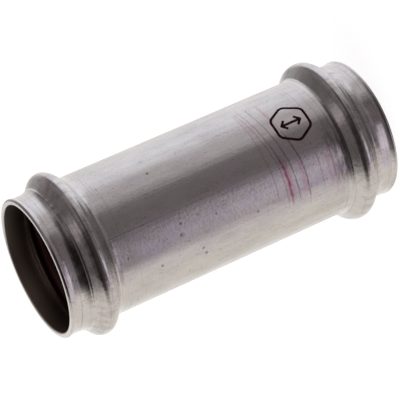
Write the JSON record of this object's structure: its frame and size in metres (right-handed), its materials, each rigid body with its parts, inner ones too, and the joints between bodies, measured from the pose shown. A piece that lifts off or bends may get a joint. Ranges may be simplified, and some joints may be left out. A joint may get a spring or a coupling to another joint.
{
  "type": "press coupling",
  "caption": "Straight stainless sleeve with a rolled bead and a seal ring near each end, slipped over two pipe ends and pressed to join them.",
  "frame": {"origin": "on the sleeve's axis, at the lower rim that it stands on", "axes": "+Z along the sleeve's axis, from the lower mouth to the upper mouth; -Y is the side that carries the printed mark, turned a little towards +X"},
  "size_m": [0.0538, 0.0538, 0.118],
  "materials": {
    "stainless": "drawn and pickled stainless steel, satin",
    "seal": "smooth dark red rubber",
    "ink": "thin dark red printing ink"
  },
  "bodies": {
    "root": {"sleeve": "stainless", "upper_seal_ring": "seal", "lower_seal_ring": "seal"}
  },
  "joints": []
}
